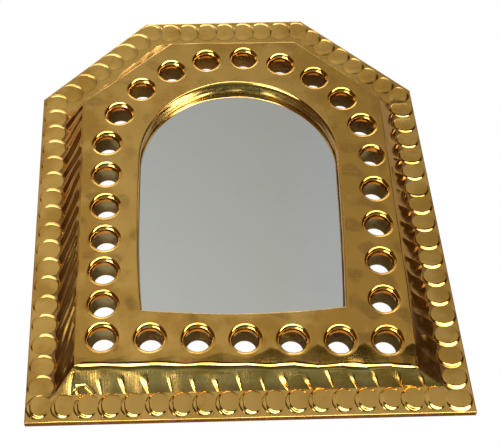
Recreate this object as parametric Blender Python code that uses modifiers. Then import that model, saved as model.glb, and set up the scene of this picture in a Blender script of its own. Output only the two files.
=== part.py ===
"""Hand-worked brass wall mirror, in metres, +Z up, with its front towards -Y.

One raised, pierced and struck face sheet is hemmed round a flat back plate. A lined, arched window
in it shows the glass, and a wire ring on the back hangs on a nail. The origin is on the rear face
of the back plate, halfway up the frame.
"""

import math

import bmesh
import bpy
from mathutils import Matrix, Vector
from mathutils.geometry import delaunay_2d_cdt

# Sheet metal and fits
SHEET = 0.0008
GAP = 0.0003

# Outer outline, seen from the front
WIDTH = 0.380
HEIGHT = 0.466
SHOULDER_HEIGHT = 0.360
TOP_WIDTH = 0.169
BOTTOM_SKEW = 0.0095  # how much lower the right bottom corner is than the left one

# Depth, from the rear face of the back plate towards the front
RIM_DEPTH = 0.0055
PANEL_RISE = 0.019
HEM_RETURN = 0.006

# Border and its struck bosses
BORDER_WIDTH = 0.025
BOSS_PITCH = 0.020
BOSS_RADIUS = 0.0114
BOSS_TOP_RADIUS = 0.0086
BOSS_HEIGHT = 0.0018
BOSS_LEAN = 0.06  # slope of a boss's top: its first edge lies over the boss before it
BOSS_SIDES = 10

# Corners of the raised panel: how far each one lies in from the outline's corner, across and up
PANEL_BOTTOM_LEFT = (0.0416, 0.0420)
PANEL_BOTTOM_RIGHT = (-0.0474, 0.0372)
PANEL_RIGHT_SHOULDER = (-0.0386, -0.0241)
PANEL_TOP_RIGHT = (-0.0123, -0.0503)
PANEL_TOP_LEFT = (0.0267, -0.0486)
PANEL_LEFT_SHOULDER = (0.0428, -0.0211)

# Turned-in holes
HOLE_RADIUS = 0.0113
HOLE_LIP = 0.0035
COLLAR_DEPTH = 0.008
BACK_HOLE_RADIUS = 0.0105
HOLE_SIDES = 14
HOLE_SIDE_EDGE = 0.0227  # from the panel's bottom corners to the first holes, across
HOLE_BOTTOM_EDGE = 0.0252  # and up
ARCH_SIDE_MARGIN = 0.0005  # least distance from the panel's sides to the lips of the arched row
ARCH_TOP_EDGE = 0.0210  # from the panel's top to the arched row
ARCH_SHIFT = 0.0024  # how far right of the panel's middle the arch stands
ARCH_START = math.radians(-2.0)
ARCH_END = math.radians(171.0)
ROW_PITCH = 0.0409
LEFT_PITCH = 0.0360
ARCH_PITCH = 0.0391
LEFT_CROWDING = 0.005  # how far the middle of the left row slips down towards the corner

# Window
HOLE_TO_WINDOW = 0.0322
WINDOW_LIP = 0.002
WINDOW_FLANGE = 0.006
SILL_LEFT = (0.0325, 0.0245)  # from the left corner hole to the sill's corner, across and up
SILL_RIGHT = (-0.0308, 0.0339)
SILL_BOW = 0.0056
SILL_STEPS = 8
ARCH_STEPS = 28

# Glass, its backing and its clips
GLASS = 0.003
CARD = 0.0078  # packs the glass up against the linings
GLASS_MARGIN = 0.005
LINING_START = 0.0035
LINING_FOOT = 0.003
CLIP_WIDTH = 0.010
CLIP_FOOT = 0.006
CLIP_SHORTFALL = 0.0005

# Hanger
STRAP = 0.001
STRAP_WIDTH = 0.014
STRAP_LENGTH = 0.020
HANGER_DROP = 0.030
KNUCKLE_TURN = math.radians(270)
KNUCKLE_STEPS = 10
WIRE_RADIUS = 0.0013
WIRE_CLEARANCE = 0.0002
RING_HALF_WIDTH = 0.011
RING_CORNER = 0.003
RING_STRAIGHT = 0.003
RIVET_RADIUS = 0.0013
RIVET_HEAD_RADIUS = 0.0024
RIVET_HEAD = 0.0012
RIVET_HOLE_CLEARANCE = 0.0002
RIVET_SPACING = 0.007
RIVET_DROP = 0.010

# Levels along Y
BACK_FRONT = -SHEET
BORDER_FRONT = -RIM_DEPTH
PANEL_FRONT = BORDER_FRONT - PANEL_RISE
HEM_REAR = GAP + SHEET
CARD_REAR = BACK_FRONT - GAP
GLASS_REAR = CARD_REAR - CARD - GAP
GLASS_FRONT = GLASS_REAR - GLASS


def clear_scene():
    for obj in list(bpy.data.objects):
        bpy.data.objects.remove(obj, do_unlink=True)


def new_collection(name):
    collection = bpy.data.collections.new(name)
    bpy.context.scene.collection.children.link(collection)
    return collection


def metal(name, colour, roughness, metallic=1.0):
    material = bpy.data.materials.new(name)
    material.use_nodes = True
    shader = material.node_tree.nodes["Principled BSDF"]
    shader.inputs["Base Color"].default_value = (*colour, 1.0)
    shader.inputs["Roughness"].default_value = roughness
    shader.inputs["Metallic"].default_value = metallic
    return material


def add_object(name, data, material, collection):
    obj = bpy.data.objects.new(name, data)
    if material:
        data.materials.append(material)
    collection.objects.link(obj)
    return obj


def add_mesh(name, bm, material, collection):
    mesh = bpy.data.meshes.new(name)
    bm.to_mesh(mesh)
    bm.free()
    return add_object(name, mesh, material, collection)


def shade_round(obj, angle=math.radians(35)):
    obj.data.shade_smooth()
    obj.data.set_sharp_from_angle(angle=angle)


def inset(points, distance):
    """The closed outline moved inwards (left of its direction) by distance, corner by corner."""
    moved = []
    for before, point, after in zip(points[-1:] + points[:-1], points, points[1:] + points[:1]):
        first = (point - before).normalized()
        second = (after - point).normalized()
        left_1 = Vector((-first.y, first.x))
        left_2 = Vector((-second.y, second.x))
        moved.append(point + (left_1 + left_2) * (distance / (1 + left_1.dot(left_2))))
    return moved


def circle(centre, radius, sides=HOLE_SIDES):
    turns = [2 * math.pi * i / sides for i in range(sides)]
    return [centre + radius * Vector((math.cos(turn), math.sin(turn))) for turn in turns]


def spread(start, end, pitch):
    """Points from start to end, both counted, at about this pitch."""
    steps = max(1, round((end - start).length / pitch))
    return [start.lerp(end, i / steps) for i in range(steps + 1)]


def in_space(points, y):
    return [Vector((point.x, y, point.y)) for point in points]


def outer_outline():
    """The frame's six corners, anticlockwise from the bottom left."""
    foot = -HEIGHT / 2
    shoulder = foot + SHOULDER_HEIGHT
    return [
        Vector((-WIDTH / 2, foot + BOTTOM_SKEW / 2)),
        Vector((WIDTH / 2, foot - BOTTOM_SKEW / 2)),
        Vector((WIDTH / 2, shoulder)),
        Vector((TOP_WIDTH / 2, foot + HEIGHT)),
        Vector((-TOP_WIDTH / 2, foot + HEIGHT)),
        Vector((-WIDTH / 2, shoulder)),
    ]


def panel_outline(outline):
    insets = (
        PANEL_BOTTOM_LEFT,
        PANEL_BOTTOM_RIGHT,
        PANEL_RIGHT_SHOULDER,
        PANEL_TOP_RIGHT,
        PANEL_TOP_LEFT,
        PANEL_LEFT_SHOULDER,
    )
    return [corner + Vector(step) for corner, step in zip(outline, insets)]


def arch_of_holes(panel):
    """Centre and radius of the arched row: under the panel's top, as wide as its sides let it be."""
    bottom_left, bottom_right, right, top_right, top_left, left = panel
    middle = (left.x + right.x) / 2 + ARCH_SHIFT
    crown = Vector((middle, min(top_left.y, top_right.y) - ARCH_TOP_EDGE))
    radii = []
    for start, end in (
        (bottom_right, right),
        (right, top_right),
        (top_left, left),
        (left, bottom_left),
    ):
        along = (end - start).normalized()
        inward = Vector((-along.y, along.x))
        reach = inward.dot(crown - start) - HOLE_RADIUS - HOLE_LIP - ARCH_SIDE_MARGIN
        radii.append(reach / (1 + inward.y))
    radius = min(radii)
    return crown - Vector((0, radius)), radius


def hole_centres(panel, arch_centre, arch_radius):
    left_corner = panel[0] + Vector((HOLE_SIDE_EDGE, HOLE_BOTTOM_EDGE))
    right_corner = panel[1] + Vector((-HOLE_SIDE_EDGE, HOLE_BOTTOM_EDGE))
    steps = max(1, round(arch_radius * (ARCH_END - ARCH_START) / ARCH_PITCH))
    turns = [ARCH_START + (ARCH_END - ARCH_START) * i / steps for i in range(steps + 1)]
    arch = [arch_centre + arch_radius * Vector((math.cos(turn), math.sin(turn))) for turn in turns]
    left = spread(arch[-1], left_corner, LEFT_PITCH)
    for i, point in enumerate(left):
        share = i / (len(left) - 1)
        point.y -= 4 * LEFT_CROWDING * share * (1 - share)
    bottom = spread(left_corner, right_corner, ROW_PITCH)
    right = spread(right_corner, arch[0], ROW_PITCH)
    return left_corner, right_corner, left[:-1] + bottom[:-1] + right[:-1] + arch[:-1]


def window_outline(left_corner, right_corner, arch_centre, arch_radius):
    """Sill from left to right with a slight bow, then the arch, anticlockwise."""
    left = left_corner + Vector(SILL_LEFT)
    right = right_corner + Vector(SILL_RIGHT)
    points = []
    for i in range(SILL_STEPS + 1):
        share = i / SILL_STEPS
        bow = 4 * SILL_BOW * share * (1 - share)
        points.append(left.lerp(right, share) - Vector((0, bow)))
    radius = arch_radius - HOLE_TO_WINDOW
    for i in range(ARCH_STEPS + 1):
        turn = math.pi * i / ARCH_STEPS
        points.append(arch_centre + radius * Vector((math.cos(turn), math.sin(turn))))
    return points


def boss_places(outline):
    """Centre and direction of each boss along the border's middle line, anticlockwise."""
    middle = inset(outline, BORDER_WIDTH / 2)
    places = []
    for start, end in zip(middle, middle[1:] + middle[:1]):
        along = (end - start).normalized()
        places += [(point, along) for point in spread(start, end, BOSS_PITCH)[:-1]]
    return places


def lip_profile(lip, depth):
    """(inwards, depth) steps of an edge that rolls over a quarter circle and then runs straight in."""
    half = math.pi / 4
    return [(lip * math.sin(half), lip * (1 - math.cos(half))), (lip, lip), (lip, depth)]


def ring(bm, points, closed=True):
    """A row of joined vertices: the vertices in order, and their edges."""
    verts = [bm.verts.new(point) for point in points]
    ends = zip(verts, verts[1:] + verts[:1]) if closed else zip(verts, verts[1:])
    return verts, [bm.edges.new(pair) for pair in ends]


def extend(bm, row, further_rows):
    """Extrudes a row of vertices through further rows of points, one after the other."""
    verts, edges = row
    for points in further_rows:
        grown = bmesh.ops.extrude_edge_only(bm, edges=edges)["geom"]
        fresh = {item for item in grown if isinstance(item, bmesh.types.BMVert)}
        edges = [item for item in grown if isinstance(item, bmesh.types.BMEdge)]
        moved = []
        for vert in verts:
            ends = [edge.other_vert(vert) for edge in vert.link_edges]
            moved.append(next(end for end in ends if end in fresh))
        for vert, point in zip(moved, points):
            vert.co = point
        verts = moved


def fill_with_holes(bm, rows):
    """Triangles between an outer row of vertices and the rows round its convex holes, at one level."""
    only_inside = 1
    verts = [vert for row, _ in rows for vert in row]
    places = {vert: index for index, vert in enumerate(verts)}
    sides = [[places[vert] for vert in edge.verts] for _, edges in rows for edge in edges]
    hole_of = {vert: number for number, (row, _) in enumerate(rows) for vert in row}
    flat = [vert.co.xz for vert in verts]
    triangles = delaunay_2d_cdt(flat, sides, [], only_inside, GAP / 1000)[2]
    for triangle in triangles:
        corners = [verts[index] for index in triangle]
        numbers = {hole_of[corner] for corner in corners}
        if len(numbers) > 1 or numbers == {0}:
            bm.faces.new(corners)


def face_inward(bm, toward):
    """Makes the open skin's faces agree, with the largest one facing this way."""
    bmesh.ops.recalc_face_normals(bm, faces=bm.faces)
    largest = max(bm.faces, key=lambda face: face.calc_area())
    if largest.normal.dot(toward) < 0:
        bmesh.ops.reverse_faces(bm, faces=bm.faces)


def thicken(obj, thickness):
    modifier = obj.modifiers.new("thickness", "SOLIDIFY")
    modifier.thickness = thickness
    modifier.offset = -1
    modifier.use_even_offset = True
    modifier.use_quality_normals = True


def cut(obj, cutter, operation="DIFFERENCE"):
    modifier = obj.modifiers.new(cutter.name, "BOOLEAN")
    modifier.operation = operation
    modifier.object = cutter


def make_boss(index, place, along, helpers):
    """One struck boss: a low cone whose top leans, sunk half into the sheet."""
    sunk = SHEET / 2
    bm = bmesh.new()
    bmesh.ops.create_cone(
        bm,
        cap_ends=True,
        segments=BOSS_SIDES,
        radius1=BOSS_RADIUS,
        radius2=BOSS_TOP_RADIUS,
        depth=BOSS_HEIGHT + sunk,
    )
    for vert in bm.verts:
        if vert.co.z > 0:
            vert.co.z -= BOSS_LEAN * vert.co.x
    boss = add_mesh(f"boss_{index:02d}", bm, None, helpers)
    ahead = Vector((along.x, 0, along.y))
    front = Vector((0, -1, 0))
    turn = Matrix((ahead, front.cross(ahead), front)).transposed().to_4x4()
    middle = BORDER_FRONT - (BOSS_HEIGHT - sunk) / 2
    boss.matrix_world = Matrix.Translation((place.x, middle, place.y)) @ turn
    boss.hide_render = True
    boss.display_type = "WIRE"


def make_face_sheet(outline, panel, holes, window, material, parts):
    bm = bmesh.new()
    panel_ring = ring(bm, in_space(panel, PANEL_FRONT))
    window_ring = ring(bm, in_space(window, PANEL_FRONT))
    mouth = HOLE_RADIUS + HOLE_LIP
    hole_rings = [ring(bm, in_space(circle(centre, mouth), PANEL_FRONT)) for centre in holes]
    fill_with_holes(bm, [panel_ring, window_ring, *hole_rings])
    for centre, hole_ring in zip(holes, hole_rings):
        rows = [
            in_space(circle(centre, mouth - step), PANEL_FRONT + depth)
            for step, depth in lip_profile(HOLE_LIP, COLLAR_DEPTH)
        ]
        extend(bm, hole_ring, rows)
    rows = [
        in_space(inset(window, step), PANEL_FRONT + depth)
        for step, depth in lip_profile(WINDOW_LIP, WINDOW_FLANGE)
    ]
    extend(bm, window_ring, rows)
    rows = [
        in_space(inset(outline, BORDER_WIDTH), BORDER_FRONT),
        in_space(outline, BORDER_FRONT),
        in_space(outline, HEM_REAR),
        in_space(inset(outline, HEM_RETURN), HEM_REAR),
    ]
    extend(bm, panel_ring, rows)
    face_inward(bm, Vector((0, -1, 0)))
    sheet = add_mesh("face_sheet", bm, material, parts)
    thicken(sheet, SHEET)
    bosses = new_collection("struck_bosses")
    for index, (place, along) in enumerate(boss_places(outline), 1):
        make_boss(index, place, along, bosses)
    strikes = sheet.modifiers.new("struck_bosses", "BOOLEAN")
    strikes.operation = "UNION"
    strikes.operand_type = "COLLECTION"
    strikes.collection = bosses
    shade_round(sheet)


def make_plate(name, outlines, front, thickness, material, parts):
    """A flat plate that stands in the XZ plane, from its outlines: the first is the outer one."""
    curve = bpy.data.curves.new(name, "CURVE")
    curve.dimensions = "2D"
    curve.fill_mode = "BOTH"
    curve.extrude = thickness / 2
    for points in outlines:
        spline = curve.splines.new("POLY")
        spline.points.add(len(points) - 1)
        for spot, point in zip(spline.points, points):
            spot.co = (point.x, point.y, 0, 1)
        spline.use_cyclic_u = True
    plate = add_object(name, curve, material, parts)
    plate.rotation_euler = (math.pi / 2, 0, 0)
    plate.location.y = front + thickness / 2
    return plate


def make_lining(name, outlines, material, parts):
    """A strip that lines part of the window: its wall, and a foot that lies on the glass."""
    wall, foot = outlines
    rear = GLASS_FRONT - GAP
    bm = bmesh.new()
    start = ring(bm, in_space(wall, PANEL_FRONT + LINING_START), closed=False)
    extend(bm, start, [in_space(wall, rear), in_space(foot, rear)])
    bmesh.ops.recalc_face_normals(bm, faces=bm.faces)
    resting = max(bm.faces, key=lambda face: abs(face.normal.y))
    if resting.normal.y < 0:
        bmesh.ops.reverse_faces(bm, faces=bm.faces)
    lining = add_mesh(name, bm, material, parts)
    thicken(lining, SHEET)
    shade_round(lining)


def make_linings(window, material, parts):
    """The sill's strip and the arch's strip, mitred at the window's bottom corners."""
    inner = inset(window, WINDOW_LIP - SHEET - GAP)
    outer = inset(window, WINDOW_LIP - SHEET - GAP - SHEET - LINING_FOOT)
    sill_rows = []
    arch_rows = []
    for points in (inner, outer):
        sill = [point.copy() for point in points[: SILL_STEPS + 1]]
        arch = [point.copy() for point in points[SILL_STEPS:] + points[:1]]
        sill[0] += GAP * (sill[1] - sill[0]).normalized()
        sill[-1] += GAP * (sill[-2] - sill[-1]).normalized()
        arch[0] += GAP * (arch[1] - arch[0]).normalized()
        arch[-1] += GAP * (arch[-2] - arch[-1]).normalized()
        sill_rows.append(sill)
        arch_rows.append(arch)
    make_lining("sill_lining", sill_rows, material, parts)
    make_lining("arch_lining", arch_rows, material, parts)


def make_clip(index, foot_of_edge, outward, material, parts):
    """An angle tab: its foot lies on the back plate, its upstand stops the glass."""
    height = BACK_FRONT - GAP - GLASS_FRONT - CLIP_SHORTFALL
    corners = [(0, 0), (CLIP_FOOT, 0), (CLIP_FOOT, SHEET), (SHEET, SHEET), (SHEET, height), (0, height)]
    name = f"glass_clip_{index}"
    clip = make_plate(name, [[Vector(corner) for corner in corners]], 0, CLIP_WIDTH, material, parts)
    across = Vector((outward.x, 0, outward.y))
    front = Vector((0, -1, 0))
    turn = Matrix((across, front, across.cross(front))).transposed().to_4x4()
    place = Vector((foot_of_edge.x, BACK_FRONT - GAP, foot_of_edge.y))
    clip.matrix_world = Matrix.Translation(place) @ turn


def make_clips(window, material, parts):
    """Clips beside the glass: two under the sill, one on each side and two on the arch."""
    edge = inset(window, -(GLASS_MARGIN + GAP))
    right_side = SILL_STEPS
    left_side = len(edge) - 1
    segments = (
        SILL_STEPS // 4,
        SILL_STEPS - 1 - SILL_STEPS // 4,
        right_side,
        right_side + 1 + ARCH_STEPS // 3,
        right_side + ARCH_STEPS - ARCH_STEPS // 3,
        left_side,
    )
    for index, segment in enumerate(segments, 1):
        start = edge[segment]
        end = edge[(segment + 1) % len(edge)]
        along = (end - start).normalized()
        outward = Vector((along.y, -along.x))
        make_clip(index, (start + end) / 2, outward, material, parts)


def hanger_axis():
    """A point on the ring's axis: the knuckle turns back from the strap's rear face."""
    return Vector((0, GAP + STRAP + WIRE_RADIUS + WIRE_CLEARANCE, HEIGHT / 2 - HANGER_DROP))


def rivet_places():
    height = hanger_axis().z - RIVET_DROP
    return [Vector((side * RIVET_SPACING / 2, height)) for side in (-1, 1)]


def make_hanger_strap(material, parts, helpers):
    """A strap that runs up the back plate and turns back over the ring's bar."""
    axis = hanger_axis()
    bore = WIRE_RADIUS + WIRE_CLEARANCE
    path = [(axis.y - bore, axis.z - STRAP_LENGTH)]
    for i in range(KNUCKLE_STEPS + 1):
        turn = KNUCKLE_TURN * i / KNUCKLE_STEPS
        path.append((axis.y - bore * math.cos(turn), axis.z + bore * math.sin(turn)))
    bm = bmesh.new()
    left = ring(bm, [Vector((-STRAP_WIDTH / 2, y, z)) for y, z in path], closed=False)
    extend(bm, left, [[Vector((STRAP_WIDTH / 2, y, z)) for y, z in path]])
    face_inward(bm, Vector((0, 1, 0)))
    strap = add_mesh("hanger_strap", bm, material, parts)
    thicken(strap, STRAP)
    for index, place in enumerate(rivet_places(), 1):
        bm = bmesh.new()
        radius = RIVET_RADIUS + RIVET_HOLE_CLEARANCE
        bmesh.ops.create_cone(
            bm, cap_ends=True, segments=HOLE_SIDES, radius1=radius, radius2=radius, depth=4 * STRAP
        )
        cutter = add_mesh(f"rivet_hole_{index}", bm, None, helpers)
        cutter.rotation_euler = (math.pi / 2, 0, 0)
        cutter.location = (place.x, GAP + STRAP / 2, place.y)
        cutter.hide_render = True
        cutter.display_type = "WIRE"
        cut(strap, cutter)
    shade_round(strap)


def make_hanger_ring(material, parts):
    """A D-shaped wire: its straight bar turns in the knuckle, its bow stands up on the nail."""
    bar = RING_HALF_WIDTH - RING_CORNER
    half = [(bar, 0.0)]
    for i in range(1, 5):
        turn = math.pi / 2 * i / 4
        half.append((bar + RING_CORNER * math.sin(turn), RING_CORNER * (1 - math.cos(turn))))
    spring = RING_CORNER + RING_STRAIGHT
    for i in range(9):
        turn = math.pi / 2 * i / 8
        half.append((RING_HALF_WIDTH * math.cos(turn), spring + RING_HALF_WIDTH * math.sin(turn)))
    points = half + [(-x, z) for x, z in reversed(half[:-1])]
    curve = bpy.data.curves.new("hanger_ring", "CURVE")
    curve.dimensions = "3D"
    curve.bevel_depth = WIRE_RADIUS
    curve.bevel_resolution = 2
    spline = curve.splines.new("POLY")
    spline.points.add(len(points) - 1)
    for spot, (x, z) in zip(spline.points, points):
        spot.co = (x, 0, z, 1)
    spline.use_cyclic_u = True
    ring_object = add_object("hanger_ring", curve, material, parts)
    ring_object.location = hanger_axis()


def make_rivet(index, place, material, parts):
    """A turned rivet: domed head on the strap, shank through both sheets, flat head inside."""
    rear = GAP + STRAP + GAP
    front = BACK_FRONT - GAP
    profile = [
        (0, rear + RIVET_HEAD),
        (RIVET_HEAD_RADIUS * 0.6, rear + RIVET_HEAD * 0.8),
        (RIVET_HEAD_RADIUS, rear),
        (RIVET_RADIUS, rear),
        (RIVET_RADIUS, front),
        (RIVET_HEAD_RADIUS, front),
        (RIVET_HEAD_RADIUS, front - SHEET),
        (0, front - SHEET),
    ]
    bm = bmesh.new()
    ring(bm, [Vector((radius, 0, height)) for radius, height in profile], closed=False)
    rivet = add_mesh(f"hanger_rivet_{index}", bm, material, parts)
    screw = rivet.modifiers.new("turned", "SCREW")
    screw.axis = "Z"
    screw.steps = HOLE_SIDES
    screw.render_steps = HOLE_SIDES
    screw.use_merge_vertices = True
    screw.merge_threshold = 0.00001
    rivet.rotation_euler = (-math.pi / 2, 0, 0)
    rivet.location = (place.x, 0, place.y)


def main():
    clear_scene()
    parts = new_collection("framed_mirror")
    helpers = new_collection("cutters")
    brass = metal("worked_brass", (0.78, 0.54, 0.18), 0.22)
    flat_brass = metal("flat_brass", (0.70, 0.50, 0.18), 0.30)
    lining_brass = metal("lining_brass", (0.74, 0.50, 0.17), 0.25)
    hanger_brass = metal("hanger_brass", (0.62, 0.45, 0.18), 0.38)
    mirror = metal("mirror", (0.92, 0.93, 0.93), 0.02)
    card = metal("card", (0.42, 0.33, 0.23), 0.9, metallic=0.0)

    outline = outer_outline()
    panel = panel_outline(outline)
    arch_centre, arch_radius = arch_of_holes(panel)
    left_corner, right_corner, holes = hole_centres(panel, arch_centre, arch_radius)
    window = window_outline(left_corner, right_corner, arch_centre, arch_radius)
    glass_edge = inset(window, -GLASS_MARGIN)

    make_face_sheet(outline, panel, holes, window, brass, parts)
    rivet_hole = RIVET_RADIUS + RIVET_HOLE_CLEARANCE
    plate_outlines = [inset(outline, SHEET + GAP)]
    plate_outlines += [circle(centre, BACK_HOLE_RADIUS) for centre in holes]
    plate_outlines += [circle(place, rivet_hole) for place in rivet_places()]
    make_plate("back_plate", plate_outlines, BACK_FRONT, SHEET, flat_brass, parts)
    make_plate("backing_card", [glass_edge], GLASS_REAR + GAP, CARD, card, parts)
    make_plate("mirror_glass", [glass_edge], GLASS_FRONT, GLASS, mirror, parts)
    make_linings(window, lining_brass, parts)
    make_clips(window, flat_brass, parts)
    make_hanger_strap(hanger_brass, parts, helpers)
    make_hanger_ring(hanger_brass, parts)
    for index, place in enumerate(rivet_places(), 1):
        make_rivet(index, place, hanger_brass, parts)


main()
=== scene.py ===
"""Looks of the hand-worked brass wall mirror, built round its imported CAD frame.

The face sheet is one fine mesh: a raised panel with turned-in holes, a fluted flank, a border of
struck bosses that lie over each other, and a hemmed rim. Metres, +Z up, front towards -Y.
"""

import math

import bmesh
import bpy
import numpy as np
from mathutils import Matrix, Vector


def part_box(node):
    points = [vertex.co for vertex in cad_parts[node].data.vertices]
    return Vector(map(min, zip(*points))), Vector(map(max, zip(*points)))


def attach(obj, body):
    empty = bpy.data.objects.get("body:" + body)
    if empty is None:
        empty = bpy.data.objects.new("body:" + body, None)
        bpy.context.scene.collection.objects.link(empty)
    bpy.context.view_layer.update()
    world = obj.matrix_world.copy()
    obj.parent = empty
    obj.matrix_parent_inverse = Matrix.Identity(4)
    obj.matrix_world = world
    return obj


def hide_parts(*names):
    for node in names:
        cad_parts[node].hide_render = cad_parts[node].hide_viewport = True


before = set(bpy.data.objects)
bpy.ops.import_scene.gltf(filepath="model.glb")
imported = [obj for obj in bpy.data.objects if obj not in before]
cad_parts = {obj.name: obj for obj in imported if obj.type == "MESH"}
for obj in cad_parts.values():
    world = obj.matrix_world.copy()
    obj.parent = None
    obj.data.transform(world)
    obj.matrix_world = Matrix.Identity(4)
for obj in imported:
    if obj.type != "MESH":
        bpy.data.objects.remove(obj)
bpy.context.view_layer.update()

# Sizes shared with the CAD frame
SHEET = 0.0008
GAP = 0.0003
WIDTH = 0.380
HEIGHT = 0.466
SHOULDER_HEIGHT = 0.360
TOP_WIDTH = 0.169
BOTTOM_SKEW = 0.0095
BORDER_WIDTH = 0.025
BOSS_PITCH = 0.020
HEM_RETURN = 0.006
PANEL_RISE = 0.019
PANEL_INSETS = (
    (0.0416, 0.0420),
    (-0.0474, 0.0372),
    (-0.0386, -0.0241),
    (-0.0123, -0.0503),
    (0.0267, -0.0486),
    (0.0428, -0.0211),
)
HOLE_RADIUS = 0.0113
HOLE_LIP = 0.0035
COLLAR_DEPTH = 0.008
HOLE_SIDE_EDGE = 0.0227
HOLE_BOTTOM_EDGE = 0.0252
ARCH_SIDE_MARGIN = 0.0005
ARCH_TOP_EDGE = 0.0210
ARCH_SHIFT = 0.0024
ARCH_START = math.radians(-2.0)
ARCH_END = math.radians(171.0)
ROW_PITCH = 0.0409
LEFT_PITCH = 0.0360
ARCH_PITCH = 0.0391
LEFT_CROWDING = 0.005
HOLE_TO_WINDOW = 0.0322
WINDOW_LIP = 0.002
WINDOW_FLANGE = 0.006
SILL_LEFT = (0.0325, 0.0245)
SILL_RIGHT = (-0.0308, 0.0339)
SILL_BOW = 0.0056
LINING_START = 0.0035
BACK_HOLE_RADIUS = 0.0105
STRAP = 0.001
STRAP_WIDTH = 0.014
STRAP_LENGTH = 0.020
HANGER_DROP = 0.030
WIRE_RADIUS = 0.0013
WIRE_CLEARANCE = 0.0002
RING_HALF_WIDTH = 0.011
RING_CORNER = 0.003
RING_STRAIGHT = 0.003
RIVET_RADIUS = 0.0013
RIVET_HEAD_RADIUS = 0.0024
RIVET_HEAD = 0.0012
RIVET_SPACING = 0.007
RIVET_DROP = 0.010

# Levels along Y, read from the frame
PANEL_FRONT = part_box("face_sheet")[0].y
HEM_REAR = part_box("face_sheet")[1].y
BORDER_FRONT = PANEL_FRONT + PANEL_RISE
GLASS_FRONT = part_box("mirror_glass")[0].y

# Sides of the frame, anticlockwise from the bottom
BOTTOM, RIGHT, RIGHT_SLOPE, TOP, LEFT_SLOPE, LEFT = range(6)

# Hand work that differs from side to side, in the order above
BORDER_WIDTHS = (0.0250, 0.0248, 0.0290, 0.0320, 0.0320, 0.0238)
FOLD_SOFTNESS = (0.0036, 0.0010, 0.0007, 0.0007, 0.0007, 0.0010)
FLANK_BULGES = (0.0, 0.0016, 0.0, 0.0, 0.0, 0.0004)
BOSS_RADII = (0.0115, 0.0115, 0.0120, 0.0128, 0.0122, 0.0115)
BOSS_SHIFTS = (0.0012, 0.0006, 0.0014, 0.0026, 0.0014, 0.0006)
BOSS_DOMES = (0.00040, 0.00050, 0.00030, 0.00040, 0.00040, 0.00040)
BOSS_LEANS = (0.095, 0.085, 0.085, 0.085, 0.095, 0.095)
LEAD_SHOULDERS = (0.0044, 0.0042, 0.0054, 0.0036, 0.0046, 0.0054)
SIDE_SHOULDERS = (0.0034, 0.0012, 0.0014, 0.0020, 0.0018, 0.0016)
INNER_SHOULDERS = (-0.0021, 0.0, 0.0040, 0.0045, 0.0040, 0.0)
SHOULDER_CURVES = (1.2, 1.4, 1.5, 1.5, 1.5, 1.5)

# Other hand work: bosses, the flank's relief, and hammer marks in the lining
BOSS_HEIGHT = 0.00115
JOINT_SHIFT = 0.57
FLUTE_HEIGHT = 0.00105
FAN_SLOPE = 0.46
CRIMP_WIDTH = 0.0017
HAMMER_PITCH = 0.034
HAMMER_DEPTH = 0.0003

# Lips of the holes
LIP_SPREAD = 1.2
LIP_CREASE = 0.0003
CREASE_DEPTH = 0.00006
LIP_CONE = 0.0014
CELL_MARGIN = 0.0006

# Folds, eased edges and returns of the sheets
FOLD_INSET = 0.0010
EDGE_ROUND = 0.0008
HEM_ROUND = 0.0006
EDGE_RETURN = 0.002
THROAT_START = 0.0072
WINDOW_WALL = 0.004
LINING_FOOT = 0.0012
BACK_EASE = 0.0003
STRAP_CORNER = 0.003
STRAP_EASE = 0.00012
STRAP_EASE_WIDTH = 0.0003
STRAP_WORN_WIDTH = 0.0012
RIVET_BEVEL = 0.0002

# Fineness of the meshes
COLUMN_STEP = 0.00060
WINDOW_STEP = 0.0010
SPOKE_STEP = 0.0008
FOLD_ROWS = 8
FLANK_ROWS = 41
BARE_FLANK_ROWS = 15
BORDER_ROWS = 51
RIM_BRIGHT_ROWS = 3
CELL_ROWS = 16
CONE_ROWS = 5
ROLL_ROWS = 8
LINING_ROWS = 12
ROUND_STEPS = 48

rng = np.random.RandomState(7)


# Outlines in the XZ plane, as arrays of points
def lengths(vectors):
    return np.linalg.norm(vectors, axis=-1)


def unit(vectors):
    return vectors / lengths(vectors)[..., None]


def leftward(vectors):
    """The vectors turned a quarter to the left: inwards, along an anticlockwise outline."""
    return np.stack((-vectors[..., 1], vectors[..., 0]), axis=-1)


def sides(points):
    """From each point of a closed outline to the next."""
    return np.roll(points, -1, axis=0) - points


def inset(points, distance):
    """The closed outline moved inwards, corner by corner."""
    after = leftward(unit(sides(points)))
    before = np.roll(after, 1, axis=0)
    share = 1 + np.sum(before * after, axis=1)
    return points + (before + after) * (distance / share)[:, None]


def inset_sides(points, distances):
    """The closed outline moved inwards, by a distance of its own for each side."""
    inward = leftward(unit(sides(points)))
    corners = []
    for side, point in enumerate(points):
        pair = [side - 1, side]
        corners.append(point + np.linalg.solve(inward[pair], np.array(distances)[pair]))
    return np.array(corners)


def arc(centre, radius, turns):
    return np.asarray(centre) + radius * np.stack((np.cos(turns), np.sin(turns)), axis=1)


def line(start, end, step, last=0):
    """Points from start, a step apart, up to but not including end unless last is 1."""
    count = max(1, round(float(lengths(end - start)) / step))
    return start + (end - start) * (np.arange(count + last) / count)[:, None]


def outer_outline():
    foot = -HEIGHT / 2
    shoulder = foot + SHOULDER_HEIGHT
    return np.array(
        [
            (-WIDTH / 2, foot + BOTTOM_SKEW / 2),
            (WIDTH / 2, foot - BOTTOM_SKEW / 2),
            (WIDTH / 2, shoulder),
            (TOP_WIDTH / 2, foot + HEIGHT),
            (-TOP_WIDTH / 2, foot + HEIGHT),
            (-WIDTH / 2, shoulder),
        ]
    )


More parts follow.
